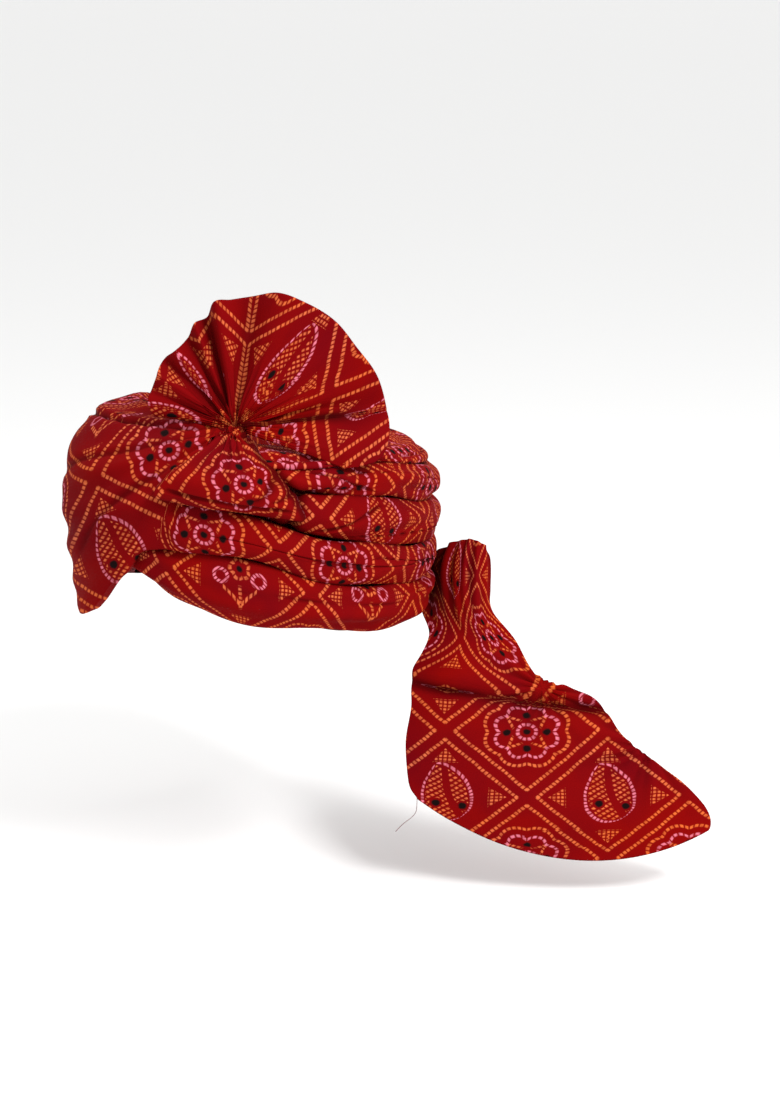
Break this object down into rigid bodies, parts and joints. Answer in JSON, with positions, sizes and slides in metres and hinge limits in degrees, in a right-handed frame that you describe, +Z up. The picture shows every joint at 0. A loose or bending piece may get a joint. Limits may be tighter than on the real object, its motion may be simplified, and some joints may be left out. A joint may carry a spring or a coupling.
{
  "type": "tied turban",
  "caption": "Head wrap of wound, tie-dye patterned red cotton with a side wing, a padded puff, a pleated fan and a long tail.",
  "frame": {"origin": "middle of the head opening, level with the rim over the wearer's left ear", "axes": "+Z up along the head, -Y toward the wearer's face, +X toward the wearer's left"},
  "size_m": [0.3986, 0.315, 0.3996],
  "materials": {
    "patterned_cotton": "matte woven cotton, red, with tie-dye dots in orange, pink and black"
  },
  "bodies": {
    "root": {"base_wrap": "patterned_cotton", "bottom_roll": "patterned_cotton", "sweeping_band": "patterned_cotton", "third_roll": "patterned_cotton", "fourth_roll": "patterned_cotton", "crown_roll": "patterned_cotton", "front_puff": "patterned_cotton", "pleated_fan": "patterned_cotton", "tail": "patterned_cotton"}
  },
  "joints": []
}
